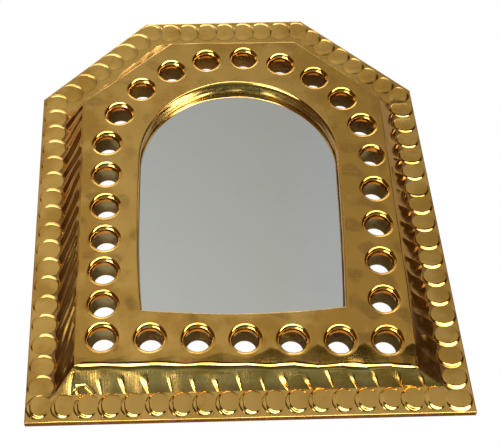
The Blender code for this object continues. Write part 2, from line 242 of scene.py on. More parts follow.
def arch_of_holes(panel):
    bottom_left, bottom_right, right, top_right, top_left, left = panel
    crown = np.array(
        ((left[0] + right[0]) / 2 + ARCH_SHIFT, min(top_left[1], top_right[1]) - ARCH_TOP_EDGE)
    )
    radii = []
    pairs = (bottom_right, right), (right, top_right), (top_left, left), (left, bottom_left)
    for start, end in pairs:
        inward = leftward(unit(end - start))
        reach = inward @ (crown - start) - HOLE_RADIUS - HOLE_LIP - ARCH_SIDE_MARGIN
        radii.append(reach / (1 + inward[1]))
    radius = min(radii)
    return crown - np.array((0, radius)), radius


def hole_centres(panel, arch_centre, arch_radius):
    left_corner = panel[0] + (HOLE_SIDE_EDGE, HOLE_BOTTOM_EDGE)
    right_corner = panel[1] + (-HOLE_SIDE_EDGE, HOLE_BOTTOM_EDGE)
    steps = max(1, round(arch_radius * (ARCH_END - ARCH_START) / ARCH_PITCH))
    arch = arc(arch_centre, arch_radius, np.linspace(ARCH_START, ARCH_END, steps + 1))
    left = line(arch[-1], left_corner, LEFT_PITCH, last=1)
    share = np.linspace(0, 1, len(left))
    left[:, 1] -= 4 * LEFT_CROWDING * share * (1 - share)
    bottom = line(left_corner, right_corner, ROW_PITCH, last=1)
    right = line(right_corner, arch[0], ROW_PITCH)
    return bottom, np.concatenate((left[:-1], bottom[:-1], right, arch[:-1]))


def window_outline(left_corner, right_corner, arch_centre, arch_radius):
    """The window's outline in fine steps, anticlockwise from its left bottom corner, and where
    its right bottom corner is in the list. Its sides swell a little, as hand-cut ones do."""
    left = left_corner + SILL_LEFT
    right = right_corner + SILL_RIGHT
    sill = line(left, right, WINDOW_STEP)
    share = np.arange(len(sill)) / len(sill)
    sill[:, 1] -= 4 * SILL_BOW * share * (1 - share)
    radius = arch_radius - HOLE_TO_WINDOW
    turns = np.linspace(0, math.pi, round(math.pi * radius / WINDOW_STEP) + 1)
    arch = arc(arch_centre, radius, turns)
    right_side = line(right, arch[0], WINDOW_STEP)
    left_side = line(arch[-1], left, WINDOW_STEP)
    sides = np.concatenate((right_side, arch[:-1], left_side))
    top = arch_centre[1] + 0.7 * radius
    for foot, way, swell in ((right, 1, 0.0014), (left, -1, 0.0030)):
        height = np.clip((sides[:, 1] - foot[1]) / (top - foot[1]), 0, 1)
        near = np.sign(sides[:, 0] - arch_centre[0]) == way
        sides[:, 0] += np.where(near, way * swell * 6.75 * height * (1 - height) ** 2, 0)
    return np.concatenate((sill, sides)), len(sill)


# Smooth random waves over the sheet
def waves(x, z, length, seed):
    """A smooth random surface between about -1 and 1, of roughly this wave length."""
    random = np.random.RandomState(seed)
    total = np.zeros_like(x)
    count = 7
    for _ in range(count):
        turn = random.uniform(0, 2 * math.pi)
        scale = 2 * math.pi / (length * random.uniform(0.75, 1.35))
        total += np.sin(scale * (x * math.cos(turn) + z * math.sin(turn)) + random.uniform(0, 6.3))
    return total / math.sqrt(count)


def smoothstep(low, high, value):
    share = np.clip((value - low) / (high - low), 0, 1)
    return share * share * (3 - 2 * share)


class Skin:
    """Collects points and quads, and makes one mesh of them."""

    def __init__(self):
        self.points = []
        self.marks = []
        self.quads = []
        self.count = 0

    def add(self, flat, y, tarnish=0.0, brush=0.0, polish=0.0):
        """Adds points of the XZ plane at depths y, and returns their numbers."""
        y = np.broadcast_to(y, len(flat))
        self.points.append(np.stack((flat[:, 0], y, flat[:, 1]), axis=1))
        marks = [np.broadcast_to(mark, len(flat)) for mark in (tarnish, brush, polish)]
        self.marks.append(np.stack(marks, axis=1))
        numbers = np.arange(self.count, self.count + len(flat))
        self.count += len(flat)
        return numbers

    def join(self, first, second, closed=True):
        """Quads between two rows of the same length, in order."""
        if closed:
            first_next, second_next = np.roll(first, -1), np.roll(second, -1)
        else:
            first, first_next = first[:-1], first[1:]
            second, second_next = second[:-1], second[1:]
        self.quads.append(np.stack((first, first_next, second_next, second), axis=1))

    def rows(self, numbers, closed=True):
        for first, second in zip(numbers, numbers[1:]):
            self.join(first, second, closed)

    def build(self, name, sharp=math.radians(38)):
        points = np.concatenate(self.points)
        quads = np.concatenate(self.quads)
        mesh = bpy.data.meshes.new(name)
        mesh.from_pydata(points, [], quads.tolist())
        mesh.validate()
        marks = np.concatenate(self.marks).astype(np.float32)
        for column, mark in enumerate(("tarnish", "brush", "polish")):
            layer = mesh.attributes.new(mark, "FLOAT", "POINT")
            layer.data.foreach_set("value", np.ascontiguousarray(marks[:, column]))
        bm = bmesh.new()
        bm.from_mesh(mesh)
        bmesh.ops.remove_doubles(bm, verts=bm.verts, dist=1e-7)
        bmesh.ops.recalc_face_normals(bm, faces=bm.faces)
        bm.to_mesh(mesh)
        bm.free()
        mesh.shade_smooth()
        mesh.set_sharp_from_angle(angle=sharp)
        obj = bpy.data.objects.new(name, mesh)
        bpy.context.scene.collection.objects.link(obj)
        return obj


# The layout: the border is wider where the flank is steeper
outline = outer_outline()
panel = outline + np.array(PANEL_INSETS)
foot_line = inset_sides(outline, BORDER_WIDTHS)
arch_centre, arch_radius = arch_of_holes(panel)
bottom_holes, holes = hole_centres(panel, arch_centre, arch_radius)
window, sill_end = window_outline(bottom_holes[0], bottom_holes[-1], arch_centre, arch_radius)


def columns(corners, counts):
    """Points along a closed outline: each side has its own number of equal steps."""
    rows = []
    for start, end, count in zip(corners, np.roll(corners, -1, axis=0), counts):
        rows.append(start + (end - start) * (np.arange(count) / count)[:, None])
    return np.concatenate(rows)


side_counts = np.round(lengths(sides(outline)) / COLUMN_STEP).astype(int)
side_of = np.repeat(np.arange(6), side_counts)
share_of = np.concatenate([np.arange(count) / count for count in side_counts])

# The sheet is crimped at the flank's left bottom corner, along this line
CRIMP = np.array(
    (
        (-0.1476, -0.1893),
        (-0.1502, -0.1959),
        (-0.1520, -0.2032),
        (-0.1458, -0.1983),
        (-0.1391, -0.1981),
        (-0.1328, -0.2048),
    )
)

# Bosses along the border's middle line: each leans, so that its first edge lies over the last one
middle_line = inset(outline, BORDER_WIDTH / 2)
middle_lengths = lengths(sides(middle_line))
boss_counts = np.maximum(1, np.round(middle_lengths / BOSS_PITCH)).astype(int)
boss_sides = np.repeat(np.arange(6), boss_counts)
side_directions = unit(sides(middle_line))
boss_along = side_directions[boss_sides]
boss_jitter = rng.uniform(-1, 1, (len(boss_sides), 4))
fan_jitter = rng.uniform(-1, 1, (boss_counts[BOTTOM] + 3, 3))
boss_inward = leftward(boss_along)
boss_centres = columns(middle_line, boss_counts) + boss_jitter[:, :2] * 0.0004
boss_centres += boss_inward * np.array(BOSS_SHIFTS)[boss_sides][:, None]
boss_radii = np.array(BOSS_RADII)[boss_sides] * (1 + 0.03 * boss_jitter[:, 2])
boss_heights = BOSS_HEIGHT * (1 + 0.10 * boss_jitter[:, 3])


def struck_step(fall, lead):
    """How far a boss has dropped at this share of its shoulder: bevel, flat band and edge."""
    bevel = 0.55 - 0.25 * lead
    band = 0.85
    bevel_drop = 0.86 - 0.48 * lead
    band_drop = bevel_drop + 0.07
    on_band = bevel_drop + (band_drop - bevel_drop) * (fall - bevel) / (band - bevel)
    on_edge = band_drop + (1 - band_drop) * (fall - band) / (1 - band)
    past_bevel = np.where(fall < band, on_band, on_edge)
    return np.where(fall < bevel, bevel_drop * fall / bevel, past_bevel)


def boss_relief(flat):
    """How far the struck bosses stand out of the border at these points, how near each point
    is to the foot of its boss (0 to 1), and the same on the side towards the flank alone."""
    height = np.zeros(len(flat))
    edge = np.zeros(len(flat))
    inner_edge = np.zeros(len(flat))
    for index, centre in enumerate(boss_centres):
        radius = boss_radii[index]
        offset = flat - centre
        near = np.flatnonzero(np.abs(offset).max(axis=1) < radius)
        if not len(near):
            continue
        offset = offset[near]
        side = boss_sides[index]
        distance = lengths(offset)
        divisor = np.maximum(distance, 1e-6)
        along = offset @ boss_along[index]
        lead = np.clip(-along / divisor, 0, 1) ** 2
        within = np.clip(offset @ boss_inward[index] / divisor, 0, 1)
        shoulder = SIDE_SHOULDERS[side] + (LEAD_SHOULDERS[side] - SIDE_SHOULDERS[side]) * lead
        shoulder = shoulder + INNER_SHOULDERS[side] * within
        dome = BOSS_DOMES[side] * (distance / radius) ** 2
        top = boss_heights[index] - BOSS_LEANS[side] * along - dome
        fall = np.clip((distance - (radius - shoulder)) / shoulder, 0, 1)
        drop = fall ** SHOULDER_CURVES[side]
        if side == BOTTOM:
            stepped = struck_step(fall, lead)
            drop = stepped + (fall - stepped) * within
        boss = top * (1 - drop)
        higher = boss > height[near]
        height[near] = np.where(higher, boss, height[near])
        edge[near] = np.where(higher, fall, edge[near])
        inner_edge[near] = np.where(higher, fall * within, inner_edge[near])
    return height, edge, inner_edge


def from_bottom(flat):
    """How far up points lie from the panel's bottom fold."""
    return (flat - panel[0]) @ leftward(unit(panel[1] - panel[0]))


def panel_relief(flat):
    """How far the panel is sunk by the hammer at these points."""
    x, z = flat.T
    sunk = 0.00030 + 0.00022 * waves(x, z, 0.050, 3) + 0.00005 * waves(x, z, 0.020, 4)
    # The strip under the bottom holes is bent down, in facets between the holes
    up = from_bottom(flat)
    pitch = bottom_holes[1, 0] - bottom_holes[0, 0]
    place = (x - bottom_holes[0, 0]) / pitch
    between = 1 - 2 * np.abs(place - np.floor(place) - 0.5)
    right = smoothstep(-0.08, 0.10, x)
    start = 0.0052 + 0.0050 * right + (0.0050 + 0.0080 * right) * between
    start = start + 0.0006 * waves(x, z * 0, 0.05, 5)
    drop = start * (0.145 + 0.065 * right) * (1 + 0.15 * waves(x, z * 0, 0.04, 6))
    depth = np.clip(1 - up / start, 0, None)
    soft = np.sqrt(depth ** 2 + 0.003) - math.sqrt(0.003)
    return np.maximum(sunk, 0) + drop * soft


def from_line(flat, points):
    """Distances of the points from a line of several straight runs."""
    nearest = np.full(len(flat), 1.0)
    for start, end in zip(points, points[1:]):
        along = end - start
        share = np.clip((flat - start) @ along / (along @ along), 0, 1)
        nearest = np.minimum(nearest, lengths(flat - start - share[:, None] * along))
    return nearest


def bend(start, corner, end, share):
    """A point on the round between two straight runs that meet at a corner."""
    rest = 1 - share
    return rest * rest * start + 2 * rest * share * corner + share * share * end


def smooth_along(values, width):
    """The values round the closed strip, averaged over this many columns each way."""
    padded = np.concatenate((values[-width:], values, values[:width]))
    kernel = np.hanning(2 * width + 3)[1:-1]
    return np.convolve(padded, kernel / kernel.sum(), mode="valid")


def flute(phase, low):
    """A periodic ridge: 1 at whole phases, and 0 at its low point between them."""
    share = phase - np.floor(phase)
    fall = np.where(share < low, 1 - share / low, (share - low) / (1 - low))
    return fall * fall * (3 - 2 * fall) * 0.5 + fall * fall * 0.5


class Flank:
    """The sheet between fold and border. The strikes push it up: into slanting flutes on the left,
    scoops on the right, and fans at the bottom that open upwards from the joints between bosses.
    Methods take a share of the flank's height (0 at its foot) and give a value for each column."""

    def __init__(self, fold, foot, x, z, inward):
        self.fold, self.foot, self.x, self.z = fold, foot, x, z
        self.pitch = (middle_lengths / boss_counts)[side_of]
        self.place = self.placed(foot)
        self.run = np.sum((fold - foot) * inward, axis=1)
        self.rise = BORDER_FRONT - PANEL_FRONT
        self.length = np.hypot(self.run, self.rise)
        self.strength = 1 + 0.25 * waves(x, z, 0.06, 23)
        self.ends = smoothstep(0, 0.03, share_of) * smoothstep(0, 0.03, 1 - share_of)
        self.bulge = np.array(FLANK_BULGES)[side_of] * smoothstep(0.05, 0.35, share_of)
        self.left = (side_of == LEFT) * self.ends
        self.patches = smoothstep(0.1, 1.0, waves(x, z, 0.035, 31)) * self.left
        # The sheet is lapped at the panel's right bottom corner
        lap = np.where(side_of == BOTTOM, smoothstep(0.990, 0.999, share_of), 0)
        self.lap = lap + np.where(side_of == RIGHT, smoothstep(0.008, 0.002, share_of), 0)

    def placed(self, flat):
        """Places along the border, in bosses: a whole number is a joint between two."""
        along = np.sum((flat - middle_line[side_of]) * side_directions[side_of], axis=1)
        return along / self.pitch - JOINT_SHIFT

    def points(self, up):
        return self.foot + (self.fold - self.foot) * up

    def scoops(self, up):
        return flute(self.place + 0.15 * up, 0.40)

    def fans(self, up):
        """The nearest fan's height (0 to 1), width and reach up the flank."""
        rightward = smoothstep(-0.10, 0.12, self.x)
        phase = self.placed(self.points(up)) + (0.05 + 0.38 * rightward) * up
        nearest = np.round(phase).astype(int)
        one = fan_jitter[np.clip(nearest + 1, 0, len(fan_jitter) - 1)]
        off = (phase - nearest) * self.pitch
        width = (0.0009 + 0.0050 * up) * (1 + 0.45 * one[:, 1])
        height = np.clip(1 - np.abs(off) / np.where(off < 0, width, 0.35 * width), 0, 1)
        return height, width, 0.60 + 0.40 * rightward + 0.18 * one[:, 0]

    def push(self, up):
        """How far the flank stands out."""
        near_fold = smoothstep(0.0, 0.06, 1 - up)
        slant = (0.9 + 0.9 * share_of) * up ** 1.4
        stray = 0.07 * waves(self.x, self.z, 0.05, 25)
        turn = 2 * math.pi * (self.place + 0.08 + slant + stray)
        left = FLUTE_HEIGHT * np.cos(turn) * near_fold
        dents = self.scoops(up) - 0.25
        deep = 0.0026 + 0.0016 * smoothstep(-0.05, 0.08, self.z)
        lower = 0.30 * smoothstep(-0.06, 0.10, self.z)
        right = deep * dents * smoothstep(0.95 - lower, 0.50 - lower, up)
        right = right * smoothstep(0.02, 0.12, share_of)
        plain = 0.0004 * (flute(self.place, 0.5) - 0.25) * np.clip(1 - up / 0.6, 0, 1)
        height, width, reach = self.fans(up)
        bottom = FAN_SLOPE * width * height * (0.7 + 0.3 * height)
        bottom *= 1 - smoothstep(0.35, 1.2, up / reach)
        kinds = np.stack((bottom, right, plain, plain, plain, left))
        push = kinds[side_of, np.arange(len(side_of))] * self.strength * self.ends
        crimp = FAN_SLOPE * np.clip(CRIMP_WIDTH - from_line(self.points(up), CRIMP), 0, None)
        push = push + np.where(side_of == BOTTOM, crimp, 0)
        return push + self.bulge * math.sin(math.pi * up) * self.ends

    def tarnish(self, up):
        """How dark the flank is: in patches, lower on the left, and at the lap; and, as painted shade,
        between the fans, on the left slope, in the scoops, at the foot and low on the right.
        """
        patches = 0.5 * self.patches * up
        left = 0.6 * self.left * smoothstep(0.02, -0.12, self.z)
        # Painted shade between the fans, low on the bottom flank
        bottom = 0.45 * (1 - self.fans(up)[0]) * smoothstep(0.55, 0.10, up)
        # A dark joint at the lap; the left slope's flank is darkened as painted shade
        lap = 0.7 * self.lap * smoothstep(0, 0.1, up) + 0.4 * (side_of == LEFT_SLOPE)
        # Painted shade in the right flank's scoops, at its foot and low down
        hollow = (1 - self.scoops(up)) ** 2 * smoothstep(0.95, 0.45, up)
        hollow = hollow * (0.7 - 0.6 * smoothstep(-0.06, 0.10, self.z))
        hollow = np.maximum(hollow, 0.8 * smoothstep(0.35, 0.05, up))
        hollow = np.maximum(hollow, 0.85 * smoothstep(-0.12, -0.16, self.z))
        sides = bottom * (side_of == BOTTOM), hollow * (side_of == RIGHT)
        return np.maximum.reduce((patches, left, lap, *sides))


def add_strip(skin):
    """Adds the strip from the panel's edge over flank and border to the hem's end, and gives
    the panel's edge: its points and their numbers."""
    wall = columns(outline, side_counts)
    foot = columns(foot_line, side_counts)
    fold = columns(panel, side_counts)
    x, z = fold.T

    # The fold is a little wavy, and softer at the bottom
    apart = smoothstep(0, 0.02, share_of) * smoothstep(0, 0.02, 1 - share_of)
    inward = leftward(side_directions)[side_of]
    softness = smooth_along(np.array(FOLD_SOFTNESS)[side_of], 30)
    softness = softness * (1 + 0.2 * waves(x, z, 0.030, 11) * apart)
    inner = columns(inset(panel, FOLD_INSET), side_counts)
    inner = inner + inward * ((softness - FOLD_INSET) * apart)[:, None]
    inner_y = PANEL_FRONT + panel_relief(inner)
    fold = fold + inward * (0.0002 * waves(x, z, 0.05, 12) * apart)[:, None]
    fold_y = PANEL_FRONT + panel_relief(fold)
    flank_share = softness * 0.8 / lengths(foot - fold)
    flank_start = fold + (foot - fold) * flank_share[:, None]
    flank_start_y = fold_y + (BORDER_FRONT - fold_y) * flank_share
    border_end = columns(inset(outline, EDGE_ROUND), side_counts)
    hem_start = columns(inset(outline, HEM_ROUND), side_counts)
    hem_end = columns(inset(outline, HEM_RETURN), side_counts)
    rim_top = BORDER_FRONT + EDGE_ROUND
    rim_end = HEM_REAR - HEM_ROUND

    strip = [(inner, inner_y)]

    def across(start, start_y, end, end_y, shares):
        for share in shares:
            strip.append((start + (end - start) * share, start_y + (end_y - start_y) * share))

    def rounded(start, start_y, corner, corner_y, end, end_y, steps):
        for share in np.linspace(0, 1, steps + 1)[1:]:
            flat = bend(start, corner, end, share)
            strip.append((flat, bend(start_y, corner_y, end_y, share)))

    rounded(inner, inner_y, fold, fold_y, flank_start, flank_start_y, FOLD_ROWS)
    first_flank = len(strip)
    flank_shares = np.linspace(0, 1, FLANK_ROWS + 1)[1:]
    across(flank_start, flank_start_y, foot, BORDER_FRONT, flank_shares)
    last_flank = len(strip)
    border_shares = np.linspace(0, 1, BORDER_ROWS + 1)[1:]
    across(foot, BORDER_FRONT, border_end, BORDER_FRONT, border_shares)
    last_border = len(strip)
    rounded(border_end, BORDER_FRONT, wall, BORDER_FRONT, wall, rim_top, 5)
    across(wall, rim_top, wall, rim_end, (0.35, 0.7, 1.0))
    rounded(wall, rim_end, wall, HEM_REAR, hem_start, HEM_REAR, 4)
    across(hem_start, HEM_REAR, hem_end, HEM_REAR, (0.3, 0.65, 1.0))
    strip.append((hem_end, np.full(len(hem_end), HEM_REAR - SHEET)))

    flank = Flank(fold, foot, x, z, inward)
    bottom_side = (side_of == BOTTOM) * 1.0
    beside = np.isin(side_of, (LEFT, RIGHT))
    numbers = []
    for index, (flat, y) in enumerate(strip):
        flat = flat.copy()
        y = np.broadcast_to(np.asarray(y, float), len(flat)).copy()
        tarnish, brush, polish = np.zeros((3, len(flat)))
        if index < first_flank:
            tarnish = 0.55 * flank.patches
            polish = bottom_side
        elif index < last_flank:
            up = 1 - (index - first_flank + 1) / FLANK_ROWS
            wander = 0.00026 * flank.ends * waves(*flat.T, 0.035, 21)
            wander = wander + 0.00005 * waves(*flat.T, 0.012, 24)
            push = flank.push(up) + wander * smoothstep(0, 0.2, 1 - up)
            flat -= inward * (push * flank.rise / flank.length)[:, None]
            y -= push * flank.run / flank.length
            tarnish = flank.tarnish(up)
            brush = bottom_side * (0.6 + 1.6 * up)
        if first_flank + BARE_FLANK_ROWS <= index < last_border:
            relief, edge, inner_edge = boss_relief(flat)
            raised = BORDER_FRONT - relief < y
            y = np.where((relief > 0) & raised, BORDER_FRONT - relief, y)
            # Painted shade on the bosses: their feet are tarnished and darkened as crease shade, and
            # their sides towards the flank carry painted shadow
            boss_edge = 0.8 * smoothstep(0.82, 1.0, edge)
            at_sides = 0.9 * beside * smoothstep(0.05, 0.4, inner_edge)
            at_bottom = 0.6 * bottom_side * smoothstep(0.3, 0.9, inner_edge)
            if index >= last_flank:
                out = (index - last_flank) / BORDER_ROWS
                # Painted shade in the crease next to the flank's foot, on the left and right sides
                tarnish = 0.85 * beside * smoothstep(0.40, 0.20, out)
                y -= 0.00006 * (1 + waves(*flat.T, 0.03, 22))
            boss_tarnish_and_shade = np.maximum.reduce((boss_edge, at_sides, at_bottom))
            tarnish = np.where(raised, boss_tarnish_and_shade, tarnish)
            brush = np.where(raised, 0, brush)
            polish = np.where(raised, smoothstep(0.0, 0.15, edge), polish)
        # Painted shade: past the rim's first rows, its side and the hem are darkened in full
        if index > last_border + RIM_BRIGHT_ROWS:
            tarnish = np.ones(len(flat))
        numbers.append(skin.add(flat, y, tarnish, brush, polish))
    skin.rows(numbers)
    return inner, numbers[0]


def lip_rows(mouth, first, last):
    """Radius and depth of rows down a lip: a crease, a cone between two slopes, and a roll."""
    cone = mouth - LIP_CONE
    rows = [(mouth - LIP_CREASE, CREASE_DEPTH)]
    for slope in np.linspace(first, last, CONE_ROWS):
        radius, fallen = rows[-1]
        step = (mouth - LIP_CREASE - cone) / CONE_ROWS
        rows.append((radius - step, fallen + step * np.tan(slope)))
    fallen = rows[-1][1]
    roll = (cone - HOLE_RADIUS) / (1 - np.sin(last))
    for turn in np.linspace(last, math.pi / 2, ROLL_ROWS + 1)[1:]:
        depth = fallen + roll * (np.cos(last) - np.cos(turn))
        rows.append((HOLE_RADIUS + roll * (1 - np.sin(turn)), depth))
    return rows


def add_cell(skin, centre, border):
    """Adds the panel from these numbered points in to a hole's lip, and its turned-in collar."""
    flat = np.concatenate(skin.points)[border][:, (0, 2)]
    toward = unit(flat - centre)
    clear = lengths(flat - centre).min() - CELL_MARGIN
    mouth = min(HOLE_RADIUS + LIP_SPREAD * HOLE_LIP, clear)
    rim = centre + toward * (mouth + LIP_CREASE)
    rings = [border]
    for share in np.linspace(1, 0, CELL_ROWS + 1)[1:]:
        ring = rim + (flat - rim) * share
        brush = smoothstep(0.016, 0.004, from_bottom(ring))
        # Random tarnished patches on the panel, with painted shade added towards its right side
        darkened = waves(*ring.T, 0.030, 41)
        darkened = smoothstep(0.5, 1.4, darkened + 0.5 * smoothstep(0.0, 0.1, ring[:, 0]))
        rings.append(skin.add(ring, PANEL_FRONT + panel_relief(ring), 0.42 * darkened, brush))
    mouth_y = PANEL_FRONT + panel_relief(rim)
    under = smoothstep(-0.1, -0.6, toward[:, 1])
    first = np.radians(22 + 20 * centre[1] - 9 * under)
    for radius, fallen in lip_rows(mouth, first, first + math.radians(7.5)):
        lip = centre + toward * np.broadcast_to(radius, len(toward))[:, None]
        rings.append(skin.add(lip, mouth_y + fallen, polish=1 - 3.2 * under))
    collar_end = COLLAR_DEPTH - EDGE_RETURN
    for thickness, depths in ((0, (THROAT_START, COLLAR_DEPTH)), (SHEET, (COLLAR_DEPTH, collar_end))):
        wall = centre + toward * (HOLE_RADIUS + thickness)
        rings += [skin.add(wall, PANEL_FRONT + depth) for depth in depths]
    skin.rows(rings)


def add_panel(skin, inner, panel_edge, window_edge):
    """Adds the panel between the fold and the window: one cell round each hole."""
    mids = (holes + np.roll(holes, -1, axis=0)) / 2
    window_at = [int(np.argmin(lengths(window - mid))) for mid in mids]
    outer_at = []
    for mid, window_index in zip(mids, window_at):
        away = unit(mid - window[window_index])
        offset = inner - mid
        aside = np.abs(offset[:, 0] * away[1] - offset[:, 1] * away[0])
        outer_at.append(int(np.argmin(np.where(offset @ away > 0, aside, 1))))
    spokes = []
    for outer_index, window_index in zip(outer_at, window_at):
        points = line(inner[outer_index], window[window_index], SPOKE_STEP)[1:]
        spokes.append(skin.add(points, PANEL_FRONT + panel_relief(points)))

    def between(start, end, count):
        """Numbers from start to end, both counted, round a closed row."""
        return np.arange(start, end + 1 if end >= start else end + count + 1) % count

    for index, centre in enumerate(holes):
        before = index - 1
        outer_run = panel_edge[between(outer_at[before], outer_at[index], len(inner))]
        window_run = window_edge[between(window_at[before], window_at[index], len(window))]
        runs = (outer_run, spokes[index], window_run[::-1], spokes[before][::-1])
        add_cell(skin, centre, np.concatenate(runs))


def add_window_lip(skin, window_edge, window_y):
    """Adds the window's turned-in edge."""
    # The lip along the sill is darkened as painted shade
    sill_part = np.arange(len(window)) < sill_end
    rows = [window_edge]
    for turn in np.radians((14, 25, 38, 52, 70, 90)):
        flat = inset(window, WINDOW_LIP * math.sin(turn))
        lip_y = window_y + WINDOW_LIP * (1 - math.cos(turn))
        rows.append(skin.add(flat, lip_y, tarnish=0.8 * sill_part))
    flange_end = WINDOW_FLANGE - EDGE_RETURN
    for thickness, depths in ((0, (WINDOW_WALL, WINDOW_FLANGE)), (SHEET, (WINDOW_FLANGE, flange_end))):
        wall = inset(window, WINDOW_LIP - thickness)
        rows += [skin.add(wall, PANEL_FRONT + depth) for depth in depths]
    skin.rows(rows)


def make_face():
    """The worked face sheet, from the window's turned-in edge to the hem."""
    skin = Skin()
    inner, panel_edge = add_strip(skin)
    window_y = PANEL_FRONT + panel_relief(window)
    window_edge = skin.add(window, window_y)
    add_panel(skin, inner, panel_edge, window_edge)
    add_window_lip(skin, window_edge, window_y)
    return skin.build("face_sheet_worked")


def make_lining(name, numbers):
    """A strip of the window's lining: a wall with shallow hammer marks, and its foot."""
    skin = Skin()
    base = WINDOW_LIP - SHEET - GAP
    rear = GLASS_FRONT - GAP
    front = PANEL_FRONT + LINING_START
    kept = numbers[1:-1]
    travel = np.arange(len(kept)) * WINDOW_STEP
    wall = inset(window, base)[kept]
    outward = (inset(window, base - 0.001)[kept] - wall) / 0.001
    hammered = (0.5 - 0.5 * np.cos(2 * math.pi * travel / HAMMER_PITCH)) ** 1.5
    rows = []
    for share in np.linspace(0, 1, LINING_ROWS):
        mark = HAMMER_DEPTH * hammered * math.sin(math.pi * share)
        flat = wall + outward * mark[:, None]
        rows.append(skin.add(flat, front + (rear - front) * share))
    inside = rear - SHEET
    for reach, levels in ((LINING_FOOT, (rear, inside)), (LINING_FOOT / 2, (inside, front))):
        flat = inset(window, base - SHEET - reach)[kept]
        rows += [skin.add(flat, level) for level in levels]
    skin.rows(rows + rows[:1], closed=False)
    return skin.build(name)


def make_back_plate():
    """The flat plate behind the face, with a round hole behind each of the face's holes."""
    turns = np.linspace(0, 2 * math.pi, ROUND_STEPS + 1)[:-1]
    edge = inset(outline, SHEET + GAP)
    loops = [(edge, edge)]
    for centre in holes:
        eased = arc(centre, BACK_HOLE_RADIUS + BACK_EASE, turns)
        loops.append((arc(centre, BACK_HOLE_RADIUS, turns), eased))
    bm = bmesh.new()
    fronts, rears = [], []
    for plain, eased in loops:
        rows = []
        for flat, y in ((plain, -SHEET), (plain, -BACK_EASE), (eased, 0.0)):
            verts = [bm.verts.new((x, y, z)) for x, z in flat]
            edges = [bm.edges.new((a, b)) for a, b in zip(verts, verts[1:] + verts[:1])]
            rows.append((verts, edges))
        for (first, _), (second, _) in zip(rows, rows[1:]):
            for index in range(len(first)):
                after = (index + 1) % len(first)
                bm.faces.new((first[index], first[after], second[after], second[index]))
        fronts += rows[0][1]
        rears += rows[-1][1]
    for edges, way in ((fronts, -1), (rears, 1)):
        bmesh.ops.triangle_fill(bm, use_beauty=True, edges=edges, normal=(0, way, 0))
    bmesh.ops.recalc_face_normals(bm, faces=bm.faces)
    mesh = bpy.data.meshes.new("back_sheet")
    bm.to_mesh(mesh)
    bm.free()
    obj = bpy.data.objects.new("back_sheet", mesh)
    bpy.context.scene.collection.objects.link(obj)
    return obj


RING_AXIS_Y = GAP + STRAP + WIRE_RADIUS + WIRE_CLEARANCE
RING_AXIS_Z = HEIGHT / 2 - HANGER_DROP


def make_strap():
    """The hanger's strap: flat on the plate, rounded at its foot, and rolled over the ring's bar."""
    bore = WIRE_RADIUS + WIRE_CLEARANCE
    shares = np.linspace(1, 0.05, 12)
    inner = [(RING_AXIS_Y - bore, RING_AXIS_Z - STRAP_LENGTH * share) for share in shares]
    outer = [(y - STRAP, z) for y, z in inner]
    for turn in np.linspace(0, math.radians(270), 31):
        side, up = -math.cos(turn), math.sin(turn)
        inner.append((RING_AXIS_Y + bore * side, RING_AXIS_Z + bore * up))
        outer.append((RING_AXIS_Y + (bore + STRAP) * side, RING_AXIS_Z + (bore + STRAP) * up))
    inner, outer = np.array(inner), np.array(outer)
    half = STRAP_WIDTH / 2
    skin = Skin()
    rows = []
    for x in half * np.sin(np.linspace(-math.pi / 2, math.pi / 2, 33)):
        past = max(0.0, abs(x) - (half - STRAP_CORNER))
        lift = STRAP_CORNER - math.sqrt(max(0.0, STRAP_CORNER ** 2 - past ** 2))
        ease = STRAP_EASE * smoothstep(half - STRAP_EASE_WIDTH, half, abs(x)) / STRAP
        front = outer + (inner - outer) * ease
        rear = inner + (outer - inner) * ease
        loop = np.concatenate((front, rear[::-1]))
        foot = RING_AXIS_Z - STRAP_LENGTH + lift
        loop[:, 1] = np.where(loop[:, 1] < foot, foot, loop[:, 1])
        flat = np.stack((np.full(len(loop), x), loop[:, 1]), axis=1)
        darkened = 0.8 * float(smoothstep(half - STRAP_WORN_WIDTH, half, abs(x)))
        rows.append(skin.add(flat, loop[:, 0], tarnish=darkened))
    skin.rows(rows)
    count = len(inner)
    for row in (rows[0], rows[-1]):
        skin.join(row[:count], row[count:][::-1], closed=False)
    return skin.build("hanger_tongue")


def make_ring():
    """The D-shaped wire: a straight bar in the strap's roll, and a round bow."""
    bar = RING_HALF_WIDTH - RING_CORNER
    spring = RING_CORNER + RING_STRAIGHT
    half = [(bar * share, 0.0) for share in np.linspace(0, 1, 8)[:-1]]
    for turn in np.linspace(0, math.pi / 2, 13):
        half.append((bar + RING_CORNER * math.sin(turn), RING_CORNER * (1 - math.cos(turn))))
    for turn in np.linspace(0, math.pi / 2, 33):
        half.append((RING_HALF_WIDTH * math.cos(turn), spring + RING_HALF_WIDTH * math.sin(turn)))
    path = np.array(half + [(-x, z) for x, z in half[-2:0:-1]])
    across = leftward(unit(np.roll(path, -1, axis=0) - np.roll(path, 1, axis=0)))
    skin = Skin()
    rows = []
    for turn in np.linspace(0, 2 * math.pi, 25)[:-1]:
        flat = path + (0, RING_AXIS_Z) + across * (WIRE_RADIUS * math.cos(turn))
        darkened = 0.5 * smoothstep(0.3, 1.2, waves(*flat.T, 0.008, 51))
        rows.append(skin.add(flat, RING_AXIS_Y + WIRE_RADIUS * math.sin(turn), tarnish=darkened))
    skin.rows(rows + rows[:1])
    return skin.build("hanger_loop")


